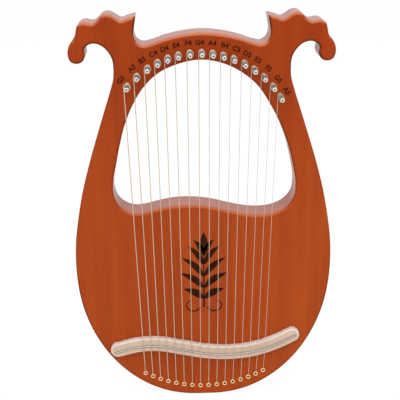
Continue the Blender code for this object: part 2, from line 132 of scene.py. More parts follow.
# Half of the body's outline and the window, in millimetres
BODY_HALF = (
    (0, 0.01), (20.5, 0.7), (41, 5), (61.7, 14.2), (80.3, 27.5), (97.2, 45.1), (110.7, 65.5), (120.8, 87.5),
    (127.4, 109.8), (130.9, 132.9), (131.9, 157), (130.7, 180.1), (127.2, 204.1), (122.2, 229.7),
    (114.4, 259.2), (105.2, 288.7), (96.8, 314.5), (90.1, 335), (86.6, 348), (86.1, 357), (87.2, 366.9),
    (92.1, 375.5), (98.4, 380.6), (104.3, 382), (109.8, 380.6), (113.3, 376.8), (112.9, 370.3),
    (115.8, 364.6), (121.3, 362.7), (126.9, 364.8), (129.3, 370.9), (128.6, 378.1), (125.9, 383.2),
    (122.3, 387.6), (120.8, 393.3), (119, 399.3), (114.7, 402.2), (104.1, 401.6), (99.5, 404.6),
    (95.4, 408.8), (91.3, 409.98), (87.5, 409.2), (82.2, 405.9), (78, 403.8), (71, 405.8), (63.5, 407.8),
    (64.7, 400), (65.7, 389), (63.5, 383.5), (58, 380.1), (50, 381.3), (37.6, 385.5), (20, 389.6),
    (0, 391.5),
)
HORN_TIP = (63.5, 407.8)
WINDOW = (
    (0, 365.2), (20, 361.4), (38, 352.6), (53, 340.2), (65.7, 321.8), (75.7, 302.9), (84.4, 281),
    (90.5, 257), (93.6, 236), (91.8, 223), (86, 214.8), (76, 208.6), (62, 205.6), (46, 206), (28, 209.6),
    (8, 214.6), (-12, 217), (-30, 216.4), (-46, 213.4), (-60, 210), (-70, 209.3), (-79, 212.3),
    (-86.3, 218.8), (-90.3, 229), (-90.6, 241), (-87, 259.9), (-82.7, 280.4), (-76.8, 301.8), (-69, 320.5),
    (-57.2, 339.2), (-43.3, 352.3), (-24, 361.2),
)
BRIDGE_LINE = (
    (-91.5, 58.2), (-70, 63.3), (-48, 63.9), (-25, 59.5), (5, 53.7), (30, 52.7), (55, 56.1), (78, 64.2),
    (93, 71.8),
)

# Note names over the pins
NOTE_NAMES = "G3 A3 B3 C4 D4 E4 F4 G4 A4 B4 C5 D5 E5 F5 G5 A5".split()
NOTE_ARC_CENTRE = (-0.0032, 0.2829)
NOTE_ARC_RADIUS = 0.0993
NOTE_ARC_ANGLES = (
    -49.8, -40.8, -33.4, -26.3, -19.5, -12.8, -6.0, 0.4, 7.4, 14.5, 21.3, 28.0, 34.8, 42.5, 50.6, 59.2,
)
NOTE_SIZE_MM = 6.7
NOTE_BOLDNESS_MM = 0.24
NOTE_HEIGHT = 0.00007

# Printed sprig: its stem's heights, and each pair of leaves as height, lean in degrees and length
SPRIG_STEM = (0.104, 0.140, 0.168)
SPRIG_STEM_WIDTHS = (0.0018, 0.0008)
SPRIG_LEAVES = (
    (0.114, 62, 0.024), (0.126, 55, 0.030), (0.139, 47, 0.031), (0.152, 38, 0.027), (0.162, 30, 0.021),
)
SPRIG_LEAF_WIDTH = 0.0078
SPRIG_LEAF_NARROWING = 0.0006
SPRIG_LEAF_BOW = 0.16
SPRIG_TOP_LEAF = (0.166, 0.022, 0.0085)
CURL_CENTRE = (0.0125, 0.1075)
CURL_REACH = 0.0095
CURL_TIGHTENING = 0.62
CURL_TURNS = (200, 250)
CURL_WIDTHS = (0.0016, 0.0008)
PRINT_DEPTHS = (FRONT_Y - 0.00007, FRONT_Y + 0.00001)

# How the drawing is cut into steps, and when a corner counts as sharp
BODY_STEPS = 6
WINDOW_STEPS = 8
BRIDGE_STEPS = 10
CAVITY_TOP_STEPS = 32
ROUNDING_STEPS = 6
RIM_BEND_STEPS = 6
CURL_STEPS = 24
LEAF_STEPS = 14
WIRE_RING_STEPS = 4
FLAT_MARGIN = 0.0003
SHARP_HALF_TURN = math.radians(25)
SAW_TOLERANCE = 0.0000001
MERGE_DISTANCE = 0.000001

# How the painted edge shade grows where an edge faces down and turns into a painted highlight where it faces
# up, the share of a wall by the glue that carries no edge shade, and how the painted highlight pales plain
# wood's edges
EDGE_SHADING_LEVEL = 0.65
EDGE_SHADING_SLOPE = 1.65
UNSHADED_SHARE = 0.001
EDGE_HIGHLIGHT_SHARE = 0.4
EDGE_HIGHLIGHT_LIFT = 0.55

# Camera, floor and lights, each softbox with its place, size and power
CAMERA_PLACE = (-0.03372, -0.91333, 0.53396)
CAMERA_YAW = math.radians(1.911)
CAMERA_PITCH = math.radians(18.886)
CAMERA_ROLL = math.radians(0.438)
CAMERA_LENS_MM = 85.5
CAMERA_SENSOR_MM = 36
FLOOR_HALF_SIZE = 12
FLOOR_DROP = 0.0005
FLOOR_GLOW = 1.07
FLOOR_GLOW_SHARE = 0.86
SKY_LIGHT = 0.55
SOFTBOX_AIM = (0, 0, 0.2)
SOFTBOXES = (
    ("key softbox", (-0.9, -1.5, 1.1), 1.4, 11),
    ("fill softbox", (1.4, -1.3, 0.8), 1.6, 7.5),
    ("top softbox", (0.1, -0.8, 1.8), 1.4, 14),
    ("rear softbox", (0.0, 1.5, 1.35), 1.4, 3),
)

# Layers that the mesh work leaves on each vertex
ORDER = "place in its loop"
EDGE_SHADE = "edge shade"
UNFINISHED = "unfinished wood"


# Drawing

def metres(points):
    return [Vector((x / 1000, z / 1000)) for x, z in points]


def smooth(points, steps, corners=(), closed=True):
    """A curve through the points, which turns sharply only at the corners and at open ends."""
    count = len(points)
    tangents = []
    for k, point in enumerate(points):
        if k in corners or (not closed and k in (0, count - 1)):
            tangents.append(None)
            continue
        back, ahead = point - points[k - 1], points[(k + 1) % count] - point
        turn = back.normalized() * ahead.length + ahead.normalized() * back.length
        tangents.append(turn.normalized())
    curve = []
    for k in range(count if closed else count - 1):
        start, end = points[k], points[(k + 1) % count]
        straight = (end - start).normalized()
        reach = (end - start).length / 3
        first = start + (tangents[k] or straight) * reach
        second = end - (tangents[(k + 1) % count] or straight) * reach
        for step in range(steps):
            t = step / steps
            s = 1 - t
            curve.append(s**3 * start + 3 * s * s * t * first + 3 * s * t * t * second + t**3 * end)
    if not closed:
        curve.append(points[-1].copy())
    return curve


def body_loop():
    right = metres(BODY_HALF)
    left = [Vector((-p.x, p.y)) for p in reversed(right[1:-1])]
    tip = BODY_HALF.index(HORN_TIP)
    return smooth(right + left, BODY_STEPS, (tip, 2 * (len(right) - 1) - tip))


def circle_loop(centre, radius, sides):
    """A round hole, drawn clockwise so that the wood is on its left."""
    turns = [-2 * math.pi * k / sides for k in range(sides)]
    return [Vector(centre) + Vector((math.cos(a), math.sin(a))) * radius for a in turns]


def inset(loop, distance):
    """The closed loop moved to its left. Points close to a sharp corner meet at the corner's own mitre."""
    moved, corners = [], []
    for k, (before, point, after) in enumerate(zip(loop[-1:] + loop[:-1], loop, loop[1:] + loop[:1])):
        back, ahead = (point - before).normalized(), (after - point).normalized()
        half_turn = math.acos(max(-1, min(1, back.dot(ahead)))) / 2
        normal = Vector((-back.y - ahead.y, back.x + ahead.x)).normalized()
        moved.append(point + normal * distance / math.cos(half_turn))
        if half_turn > SHARP_HALF_TURN and back.cross(ahead) > 0:
            corners.append((k, distance * math.tan(half_turn)))
    for corner, reach in corners:
        for step in (-1, 1):
            k = corner + step
            while (loop[k % len(loop)] - loop[corner]).length < reach:
                moved[k % len(loop)] = moved[corner].copy()
                k += step
    return moved


def crossing(loop, level, axis):
    """Where the loop crosses a level of x (axis 0) or z (axis 1), as sorted values of the other axis."""
    found = []
    for start, end in zip(loop, loop[1:] + loop[:1]):
        low, high = start[axis], end[axis]
        if (low < level) != (high < level):
            share = (level - low) / (high - low)
            found.append(start[1 - axis] + share * (end[1 - axis] - start[1 - axis]))
    return sorted(found)


def cavity_loop(body, window):
    """The hollow of the sound box: a rib's width inside the body, and below the bar under the window."""
    inner = inset(body, RIB_THICKNESS)
    ribs = [p for p in inner if p.x > 0 and TAIL_BLOCK_HEIGHT < p.y < CAVITY_SHOULDER_HEIGHT]
    floor_half = crossing(body, TAIL_BLOCK_HEIGHT, 1)[-1] - RIB_THICKNESS
    right = [Vector((floor_half, TAIL_BLOCK_HEIGHT))] + ribs
    left = [Vector((-p.x, p.y)) for p in reversed(right)]
    reaches = [CAVITY_SHOULDER_REACH * (1 - 2 * k / CAVITY_TOP_STEPS) for k in range(CAVITY_TOP_STEPS + 1)]
    top = [Vector((x, crossing(window, x, 0)[0] - WINDOW_BAR_DEPTH)) for x in reaches]
    return right + top + left


def beside(line, distance):
    """The open line moved to its left."""
    moved = []
    for k, point in enumerate(line):
        along = (line[min(k + 1, len(line) - 1)] - line[max(k - 1, 0)]).normalized()
        moved.append(point + Vector((-along.y, along.x)) * distance)
    return moved


def band_loop(line, width, end_steps=16):
    """A band of even width with round ends, drawn counter-clockwise."""
    upper, lower = beside(line, width / 2), beside(line, -width / 2)
    ends = []
    for tip, edge in ((line[-1], lower[-1]), (line[0], upper[0])):
        turns = [math.pi * k / end_steps for k in range(1, end_steps)]
        ends.append([tip + Matrix.Rotation(a, 2) @ (edge - tip) for a in turns])
    return lower + ends[0] + upper[::-1] + ends[1]


def arc_place(centre, radius, degrees):
    """A place on an arc, with its angle counted clockwise from straight up."""
    angle = math.radians(degrees)
    return Vector(centre) + Vector((math.sin(angle), math.cos(angle))) * radius


def line_crossing(start, end, line):
    """The place where a straight run meets an open line."""
    run = end - start
    for first, second in zip(line, line[1:]):
        step, away = second - first, first - start
        share = away.cross(run) / run.cross(step)
        if 0 <= share <= 1:
            return first + step * share
    raise ValueError("a string misses the saddle wire")


# Mesh work

def outline(bm, loop, y, shades=None, bare=0.0):
    """A closed ring of edges at one depth, with an edge shade for each of the loop's places."""
    order = bm.verts.layers.int.get(ORDER) or bm.verts.layers.int.new(ORDER)
    edge_shade = bm.verts.layers.float.get(EDGE_SHADE) or bm.verts.layers.float.new(EDGE_SHADE)
    unfinished = bm.verts.layers.float.get(UNFINISHED) or bm.verts.layers.float.new(UNFINISHED)
    verts = [bm.verts.new((p.x, y, p.y)) for p in loop]
    for k, vert in enumerate(verts):
        vert[order], vert[edge_shade], vert[unfinished] = k, shades[k] if shades else 0.0, bare
    return [bm.edges.new(pair) for pair in zip(verts, verts[1:] + verts[:1])]


def grow(bm, ring, loop, y, shades=None):
    """Extrudes a ring of edges to another loop and depth, and gives back the new ring."""
    order, edge_shade = bm.verts.layers.int[ORDER], bm.verts.layers.float[EDGE_SHADE]
    made = bmesh.ops.extrude_edge_only(bm, edges=ring)["geom"]
    verts = {item for item in made if isinstance(item, bmesh.types.BMVert)}
    for vert in verts:
        place = loop[vert[order]]
        vert.co = (place.x, y, place.y)
        vert[edge_shade] = shades[vert[order]] if shades else 0.0
    return [item for item in made if isinstance(item, bmesh.types.BMEdge) and set(item.verts) <= verts]


def even(loop, share):
    return [share] * len(loop)


def painted_edge_shading(loop, share):
    """How much painted shade the edges get, for a loop with its wood on the left.

    The most painted shade goes where an edge faces down. Where an edge faces up, the value is less than none
    and the edge gets a painted highlight instead.
    """
    downward_facing = []
    for before, after in zip(loop[-1:] + loop[:-1], loop[1:] + loop[:1]):
        downward_facing.append((after - before).normalized().x)
    return [share * max(-1.0, min(1.0, EDGE_SHADING_LEVEL + EDGE_SHADING_SLOPE * run)) for run in downward_facing]


def round_over(bm, loop, wall_from, face_at, radius, shades):
    """A wall and a rounded edge up to a flat face, for a loop with its wood on the left.

    The edge shades hold along the wall and fade out towards the face. A narrow flat strip follows the
    rounding, so that the face beyond it is shaded as truly flat.
    """
    out = math.copysign(1, face_at - wall_from)
    ring = outline(bm, loop, wall_from, shades)
    for k in range(ROUNDING_STEPS + 1):
        angle = math.pi / 2 * k / ROUNDING_STEPS
        shift, drop = radius * (1 - math.cos(angle)), radius * (1 - math.sin(angle))
        faded = [shade * math.cos(angle) for shade in shades]
        ring = grow(bm, ring, inset(loop, shift), face_at - out * drop, faded)
    return grow(bm, ring, inset(loop, radius + FLAT_MARGIN), face_at)


def fill(bm, ring):
    made = bmesh.ops.triangle_fill(bm, edges=ring, use_beauty=True)["geom"]
    return [item for item in made if isinstance(item, bmesh.types.BMFace)]


def slab(loops, front, back):
    """A flat board cut to its loops, each given with how unfinished its edge is."""
    bm = bmesh.new()
    ring = []
    for loop, bare in loops:
        ring += outline(bm, loop, front, bare=bare)
    fill(bm, ring)
    grown = bmesh.ops.extrude_face_region(bm, geom=bm.faces[:])["geom"]
    moved = [item for item in grown if isinstance(item, bmesh.types.BMVert)]
    bmesh.ops.translate(bm, verts=moved, vec=(0, back - front, 0))
    return bm


def keep_side(bm, axis, level, above):
    """Saws the block at a level of x or z, keeps one side and closes the cut."""
    normal = Vector((1, 0, 0)) if axis == "x" else Vector((0, 0, 1))
    bmesh.ops.bisect_plane(
        bm,
        geom=bm.verts[:] + bm.edges[:] + bm.faces[:],
        dist=SAW_TOLERANCE,
        plane_co=normal * level,
        plane_no=normal,
        clear_inner=above,
        clear_outer=not above,
    )
    bmesh.ops.holes_fill(bm, edges=[edge for edge in bm.edges if edge.is_boundary], sides=0)


def turned(profile, sides):
    """A shape turned round the Y axis from (radius, depth) points."""
    bm = bmesh.new()
    verts = [bm.verts.new((radius, y, 0)) for radius, y in profile]
    edges = [bm.edges.new(pair) for pair in zip(verts, verts[1:])]
    bmesh.ops.spin(
        bm, geom=verts + edges, cent=(0, 0, 0), axis=(0, 1, 0), angle=2 * math.pi, steps=sides, use_merge=True
    )
    bmesh.ops.remove_doubles(bm, verts=bm.verts, dist=MERGE_DISTANCE)
    return bm


def drawn_wire(points, radii):
    """A round wire with closed ends along the points, from a bevelled curve."""
    curve = bpy.data.curves.new("wire", "CURVE")
    curve.dimensions = "3D"
    curve.bevel_depth = 1.0
    curve.bevel_resolution = WIRE_RING_STEPS
    curve.use_fill_caps = True
    spline = curve.splines.new("POLY")
    spline.points.add(len(points) - 1)
    for place, point, radius in zip(spline.points, points, radii):
        place.co = (*point, 1)
        place.radius = radius
    return shape_of(curve)


def shape_of(curve):
    """The mesh that a curve or a text makes, as a bmesh."""
    holder = bpy.data.objects.new("drawn shape", curve)
    bpy.context.scene.collection.objects.link(holder)
    bpy.context.view_layer.update()
    bm = bmesh.new()
    bm.from_mesh(holder.evaluated_get(bpy.context.evaluated_depsgraph_get()).to_mesh())
    bpy.data.objects.remove(holder)
    bpy.data.curves.remove(curve)
    return bm


def join(bm, part):
    """Adds one bmesh to another."""
    mesh = bpy.data.meshes.new("part")
    part.to_mesh(mesh)
    part.free()
    bm.from_mesh(mesh)
    bpy.data.meshes.remove(mesh)


def finished(name, bm, finishes, body="lyre", nodes=(), angle=40):
    """Makes the piece, gives it its finishes and lets it ride on its body in place of its solids."""
    bmesh.ops.remove_doubles(bm, verts=bm.verts, dist=MERGE_DISTANCE)
    bmesh.ops.recalc_face_normals(bm, faces=bm.faces)
    for layers, label in ((bm.verts.layers.int, ORDER), (bm.verts.layers.float, UNFINISHED)):
        if label in layers:
            layers.remove(layers[label])
    mesh = bpy.data.meshes.new(name)
    bm.to_mesh(mesh)
    bm.free()
    mesh.shade_smooth()
    mesh.set_sharp_from_angle(angle=math.radians(angle))
    for finish in finishes:
        mesh.materials.append(finish)
    piece = bpy.data.objects.new(name, mesh)
    bpy.context.scene.collection.objects.link(piece)
    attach(piece, body)
    if nodes:
        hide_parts(*nodes)


# Finishes

def new_group(name, inputs, outputs):
    """A node group with named inputs (name, kind, default) and outputs (name, kind)."""
    group = bpy.data.node_groups.new(name, "ShaderNodeTree")
    kinds = {"value": "NodeSocketFloat", "colour": "NodeSocketColor", "vector": "NodeSocketVector"}
    for label, kind, default in inputs:
        socket = group.interface.new_socket(label, in_out="INPUT", socket_type=kinds[kind])
        if default is not None:
            socket.default_value = default
    for label, kind in outputs:
        group.interface.new_socket(label, in_out="OUTPUT", socket_type=kinds[kind])
    return group, group.nodes.new("NodeGroupInput").outputs, group.nodes.new("NodeGroupOutput").inputs


def feed(tree, target, value):
    """Links a socket, or sets a plain value."""
    if isinstance(value, bpy.types.NodeSocket):
        tree.links.new(value, target)
    else:
        target.default_value = value


def put(tree, kind, inputs=(), **settings):
    """A node with its settings, and its inputs by name or number."""
    node = tree.nodes.new("ShaderNode" + kind)
    for name, value in settings.items():
        setattr(node, name, value)
    for name, value in dict(inputs).items():
        feed(tree, node.inputs[name], value)
    return node


def noise(tree, vector, scale, detail=2.0, roughness=0.5):
    """Noise stretched to so many features per metre along each axis."""
    place = put(tree, "Mapping", {"Vector": vector, "Scale": scale}).outputs[0]
    return put(tree, "TexNoise", {"Vector": place, "Scale": 1.0, "Detail": detail, "Roughness": roughness})


def between(tree, value, low, high, to_low=0.0, to_high=1.0):
    """A value mapped from one span to another and held inside it."""
    span = {"Value": value, "From Min": low, "From Max": high, "To Min": to_low, "To Max": to_high}
    return put(tree, "MapRange", span).outputs[0]


def calculated(tree, operation, first, second):
    return put(tree, "Math", {0: first, 1: second}, operation=operation).outputs[0]


def mixed(tree, share, first, second, blend="MIX"):
    node = put(tree, "Mix", data_type="RGBA", blend_type=blend)
    for number, value in ((0, share), (6, first), (7, second)):
        feed(tree, node.inputs[number], value)
    return node.outputs[2]


def wood_grain():
    """Long grain along Z: broad figure, soft bands, fine streaks and short open pores."""
    group, given, result = new_group(
        "wood grain",
        [
            ("Vector", "vector", None),
            ("Light", "colour", (0.5, 0.3, 0.15, 1)),
            ("Mid", "colour", (0.4, 0.2, 0.1, 1)),
            ("Dark", "colour", (0.2, 0.1, 0.05, 1)),
            ("Bands", "value", 0.2),
            ("Streaks", "value", 0.3),
            ("Pores", "value", 0.3),
        ],
        [("Color", "colour"), ("Height", "value")],
    )
    vector, dark = given["Vector"], given["Dark"]
    warp = noise(group, vector, (9, 9, 3), 1.0).outputs["Color"]
    sway = {0: warp, 1: (0.014, 0.014, 0.0), 2: vector}
    bent = put(group, "VectorMath", sway, operation="MULTIPLY_ADD").outputs[0]
    figure = noise(group, vector, (15, 15, 3.2), 3.0, 0.55).outputs["Fac"]
    band = noise(group, bent, (96, 96, 3.6), 2.0).outputs["Fac"]
    streak = noise(group, bent, (430, 430, 9), 3.0, 0.6).outputs["Fac"]
    pore = noise(group, bent, (1500, 1500, 70), 2.0).outputs["Fac"]

    colour = mixed(group, between(group, figure, 0.3, 0.7), given["Mid"], given["Light"])
    band_share = calculated(group, "MULTIPLY", between(group, band, 0.42, 0.68), given["Bands"])
    colour = mixed(group, band_share, colour, dark)
    streak_share = calculated(group, "MULTIPLY", between(group, streak, 0.50, 0.72), given["Streaks"])
    colour = mixed(group, streak_share, colour, dark)
    open_pore = between(group, pore, 0.60, 0.68)
    colour = mixed(group, calculated(group, "MULTIPLY", open_pore, given["Pores"]), colour, dark)
    group.links.new(colour, result["Color"])
    sunk = calculated(group, "MULTIPLY", open_pore, -0.6)
    group.links.new(calculated(group, "ADD", sunk, streak), result["Height"])
    return group


def fine_wear():
    """Handling marks on metal and lacquer: faint smudges and hairline scratches."""
    group, given, result = new_group(
        "fine wear",
        [
            ("Vector", "vector", None),
            ("Roughness", "value", 0.3),
            ("Smudges", "value", 0.1),
            ("Scale", "value", 60.0),
        ],
        [("Roughness", "value"), ("Height", "value"), ("Mask", "value")],
    )
    smudge_inputs = {"Vector": given["Vector"], "Scale": given["Scale"], "Detail": 4.0, "Roughness": 0.6}
    smudge = put(group, "TexNoise", smudge_inputs).outputs["Fac"]
    change = calculated(group, "MULTIPLY", calculated(group, "SUBTRACT", smudge, 0.5), given["Smudges"])
    varied = put(group, "Math", {0: given["Roughness"], 1: change}, operation="ADD", use_clamp=True)
    group.links.new(varied.outputs[0], result["Roughness"])
    group.links.new(noise(group, given["Vector"], (900, 900, 160)).outputs["Fac"], result["Height"])
    group.links.new(smudge, result["Mask"])
    return group


def use_group(tree, group, **values):
    node = tree.nodes.new("ShaderNodeGroup")
    node.node_tree = group
    for name, value in values.items():
        feed(tree, node.inputs[name], value)
    return node.outputs


def new_material(name, **constants):
    """A material with its Principled shader, its constant values set on the shader's own sockets."""
    material = bpy.data.materials.new(name)
    material.use_nodes = True
    tree = material.node_tree
    shader = tree.nodes["Principled BSDF"]
    for label, value in constants.items():
        shader.inputs[label.replace("_", " ")].default_value = value
    return material, tree, shader.inputs, tree.nodes.new("ShaderNodeTexCoord").outputs["Object"]


def surface(tree, shader, colour, roughness, height, strength, distance):
    """Puts a changing colour, roughness and relief on the shader."""
    relief = put(tree, "Bump", {"Strength": strength, "Distance": distance, "Height": height}).outputs[0]
    for label, value in (("Base Color", colour), ("Roughness", roughness), ("Normal", relief)):
        tree.links.new(value, shader[label])


def lacquered_wood(name, painted_shade_strength, **constants):
    """Red-brown stain under thin satin lacquer, with painted shade towards the horns and along the edges, and
    a painted highlight on edges that face up.
    """
    material, tree, shader, place = new_material(name, **constants)
    grain = use_group(
        tree, GRAIN, Vector=place, Light=(0.400, 0.064, 0.0075, 1), Mid=(0.360, 0.052, 0.006, 1),
        Dark=(0.20, 0.024, 0.004, 1), Bands=0.24, Streaks=0.22, Pores=0.22,
    )
    # Painted shade: the stain darkens towards the horns.
    height = put(tree, "SeparateXYZ", {"Vector": place}).outputs["Z"]
    painted_horn_shade = between(tree, height, 0.20, 0.38)
    colour = mixed(tree, painted_horn_shade, grain["Color"], (0.84, 0.70, 0.54, 1), "MULTIPLY")
    edge = put(tree, "Attribute", attribute_name=EDGE_SHADE).outputs["Fac"]
    # Painted shade: the edges darken, most where they face down.
    painted_shade_share = calculated(tree, "MULTIPLY", between(tree, edge, 0.35, 0.8), painted_shade_strength)
    colour = mixed(tree, painted_shade_share, colour, (0.075, 0.020, 0.008, 1))
    # Painted highlight: edges that face up pale towards a light peach.
    colour = mixed(tree, between(tree, edge, -0.65, -0.15, 0.6, 0.0), colour, (0.72, 0.26, 0.14, 1))
    wear = use_group(tree, WEAR, Vector=place, Roughness=0.30, Smudges=0.14, Scale=38.0)
    surface(tree, shader, colour, wear["Roughness"], grain["Height"], 0.10, 0.0002)
    if painted_shade_strength:
        tree.links.new(between(tree, edge, 0.0, 0.8, 0.18, 0.02), shader["Coat Weight"])
    return material


def plain_wood(
    name, light, mid, dark, roughness, relief, turn=0.0, bands=0.3, streaks=0.5, *, pores, **constants
):
    """Wood that shows its own colour, paler on its edges by a painted highlight, with its grain along Z or
    turned along X.
    """
    material, tree, shader, place = new_material(name, **constants)
    turned_place = put(tree, "Mapping", {"Vector": place, "Rotation": (0, turn, 0)}).outputs[0]
    grain = use_group(
        tree, GRAIN, Vector=turned_place, Light=(*light, 1), Mid=(*mid, 1), Dark=(*dark, 1), Bands=bands,
        Streaks=streaks, Pores=pores,
    )
    edge = put(tree, "Attribute", attribute_name=EDGE_SHADE).outputs["Fac"]
    # Painted highlight: the edge shades pale the wood towards a lighter tint of its own colour.
    pale = [channel * EDGE_HIGHLIGHT_SHARE + EDGE_HIGHLIGHT_LIFT for channel in light]
    colour = mixed(tree, between(tree, edge, 0.0, 1.0, 0.0, 0.8), grain["Color"], (*pale, 1))
    wear = use_group(tree, WEAR, Vector=place, Roughness=roughness, Smudges=0.12, Scale=38.0)
    surface(tree, shader, colour, wear["Roughness"], grain["Height"], relief, 0.0002)
    return material


def metal(name, bright, dull, roughness, smudges, relief, metallic=1.0, scale=420.0):
    """Metal with duller patches, smudges and hairlines."""
    material, tree, shader, place = new_material(name, Metallic=metallic)
    wear = use_group(tree, WEAR, Vector=place, Roughness=roughness, Smudges=smudges, Scale=scale)
    colour = mixed(tree, between(tree, wear["Mask"], 0.42, 0.75, 0.0, 0.7), (*bright, 1), (*dull, 1))
    surface(tree, shader, colour, wear["Roughness"], wear["Height"], relief, 0.00005)
    return material


def pin_shank():
    """Dull nickel with painted reflections as stripes along it, a fine thread round it with painted shade in
    the thread, and a painted highlight next to the wood.
    """
    material, tree, shader, place = new_material("dull pin shank", Metallic=0.3)
    wear = use_group(tree, WEAR, Vector=place, Roughness=0.42, Smudges=0.2, Scale=420.0)
    # Painted reflections: stripes along the pin.
    reflection_stripes = noise(tree, place, (1100, 60, 1100), 2.0).outputs["Fac"]
    thread = put(tree, "TexWave", {"Vector": place, "Scale": 600.0}, bands_direction="Y").outputs["Fac"]
    colour = mixed(tree, between(tree, reflection_stripes, 0.35, 0.60), (0.12, 0.12, 0.12, 1), (0.46, 0.45, 0.44, 1))
    # Painted shade in the thread's grooves.
    colour = mixed(tree, between(tree, thread, 0.0, 0.6, 0.5, 0.0), colour, (0.06, 0.06, 0.06, 1))
    # Painted highlight on the shank next to the wood.
    bright = mixed(tree, between(tree, reflection_stripes, 0.35, 0.60), (0.62, 0.56, 0.50, 1), (0.90, 0.83, 0.76, 1))
    depth = put(tree, "SeparateXYZ", {0: place}).outputs["Y"]
    colour = mixed(tree, between(tree, depth, *PIN_ROOT_HIGHLIGHT), colour, bright)
    surface(tree, shader, colour, wear["Roughness"], thread, 0.35, 0.0001)
    return material


def wound_wire():
    """Bronze-wound bass string, with the fine turns of its winding across it and painted shade in the gaps
    between them.
    """
    material, tree, shader, place = new_material("bronze-wound string", Metallic=0.65)
    wear = use_group(tree, WEAR, Vector=place, Roughness=0.40, Smudges=0.12, Scale=60.0)
    turns = put(tree, "TexWave", {"Vector": place, "Scale": 1250.0}, bands_direction="Z").outputs["Fac"]
    # Painted shade in the gaps between the winding's turns.
    painted_gap_shade = between(tree, turns, 0.0, 0.6, 0.6, 0.0)
    colour = mixed(tree, painted_gap_shade, (0.66, 0.53, 0.40, 1), (0.38, 0.29, 0.20, 1))
    surface(tree, shader, colour, wear["Roughness"], turns, 0.35, 0.00006)
    return material


def printed_ink():
    """Dark print that lets a little of the grain through."""
    material, tree, shader, place = new_material("dark brown ink", Specular_IOR_Level=0.0)
    grain = use_group(
        tree, GRAIN, Vector=place, Light=(0.050, 0.015, 0.006, 1), Mid=(0.034, 0.010, 0.005, 1),
        Dark=(0.014, 0.005, 0.003, 1), Bands=0.3, Streaks=0.8, Pores=0.3,
    )
    wear = use_group(tree, WEAR, Vector=place, Roughness=0.6, Smudges=0.2, Scale=200.0)
    surface(tree, shader, grain["Color"], wear["Roughness"], grain["Height"], 0.1, 0.0001)
    return material


GRAIN = wood_grain()
WEAR = fine_wear()
ALONG_X = math.pi / 2
# The face lacquer carries the painted edge shade and painted highlight; the sides carry none.
LACQUER = lacquered_wood("lacquered red-brown wood", 0.85, Specular_IOR_Level=0.0, Coat_Roughness=0.18)
SIDES = lacquered_wood("glossy lacquered sides", 0.0, Specular_IOR_Level=0.5)
BARE = plain_wood(
    "bare wood inside", (0.62, 0.40, 0.22), (0.50, 0.30, 0.15), (0.28, 0.15, 0.07), 0.75, 0.5, pores=0.6
)
BRACE = plain_wood(
    "bare brace wood", (0.74, 0.56, 0.35), (0.64, 0.46, 0.27), (0.42, 0.26, 0.13), 0.72, 0.4, ALONG_X,
    pores=0.2,
)
MAPLE = plain_wood(
    "pale bridge wood", (0.62, 0.46, 0.35), (0.56, 0.41, 0.31), (0.42, 0.30, 0.22), 0.45, 0.15, ALONG_X,
    bands=0.25, streaks=0.3, pores=0.2, Coat_Weight=0.12, Coat_Roughness=0.3,
)
SHADED_GROOVE = plain_wood(
    "groove wood with painted shade", (0.44, 0.34, 0.27), (0.38, 0.29, 0.23), (0.26, 0.19, 0.15), 0.7, 0.3, ALONG_X,
    pores=0.3,
)
NICKEL = metal("nickelled pin head", (0.66, 0.61, 0.56), (0.50, 0.46, 0.42), 0.30, 0.16, 0.10, metallic=0.8)
SHANK = pin_shank()
# The centre mark is coloured dark as painted shade in its hollow.
PIN_MARK_SHADE = metal("centre mark painted with shade", (0.10, 0.05, 0.03), (0.05, 0.025, 0.015), 0.6, 0.2, 0.10, metallic=0.3)
WOUND_WIRE = wound_wire()
PLAIN_WIRE = metal(
    "plain string wire", (0.62, 0.53, 0.43), (0.52, 0.44, 0.35), 0.40, 0.12, 0.04, metallic=0.65, scale=60.0
)
SADDLE = metal("dull saddle wire", (0.50, 0.44, 0.39), (0.36, 0.31, 0.27), 0.38, 0.2, 0.15)
GILT = metal("gilt brass", (0.92, 0.64, 0.36), (0.68, 0.43, 0.21), 0.28, 0.16, 0.10)
# Near black inside the eyelets' barrels, as painted shade in the hole.
SHADED_BORE = metal("bore painted dark as shade", (0.05, 0.028, 0.015), (0.025, 0.015, 0.008), 0.7, 0.2, 0.10, metallic=0.1)
INK = printed_ink()


# Wood

BODY = body_loop()
OPENING = smooth(metres(WINDOW), WINDOW_STEPS)
PINS = [arc_place(PIN_ARC_CENTRE, PIN_ARC_RADIUS, degrees) for degrees in PIN_ARC_ANGLES]
MIDDLE_STRING = (len(PINS) - 1) / 2
EYELETS = [
    arc_place(EYELET_ARC_CENTRE, EYELET_ARC_RADIUS, 180 - EYELET_STEP_DEGREES * (k - MIDDLE_STRING))
    for k in range(len(PINS))
]
CORE_FRONT, CORE_BACK = FRONT_Y + FACE_THICKNESS, BACK_Y - BACK_THICKNESS


def make_board(name, node, shaped, drilled, glued_at, face_at, rounding):
    """A board with rounded rims, given with their edge shades, and plain drilled holes.

    Its glued side stays bare, and a hair's breadth of wall beside it keeps the edge shades off it.
    """
    bm = bmesh.new()
    wall_from = glued_at + (face_at - glued_at) * UNSHADED_SHARE
    outer, glued = [], []
    for loop, shades in shaped:
        outer += round_over(bm, loop, wall_from, face_at, rounding, shades)
        glued += grow(bm, outline(bm, loop, wall_from), loop, glued_at)
    for loop in drilled:
        outer += grow(bm, outline(bm, loop, wall_from), loop, face_at)
        glued += grow(bm, outline(bm, loop, wall_from), loop, glued_at)
    fill(bm, outer)
    for face in fill(bm, glued):
        face.material_index = 1
    finished(name, bm, [LACQUER, BARE], nodes=[node])


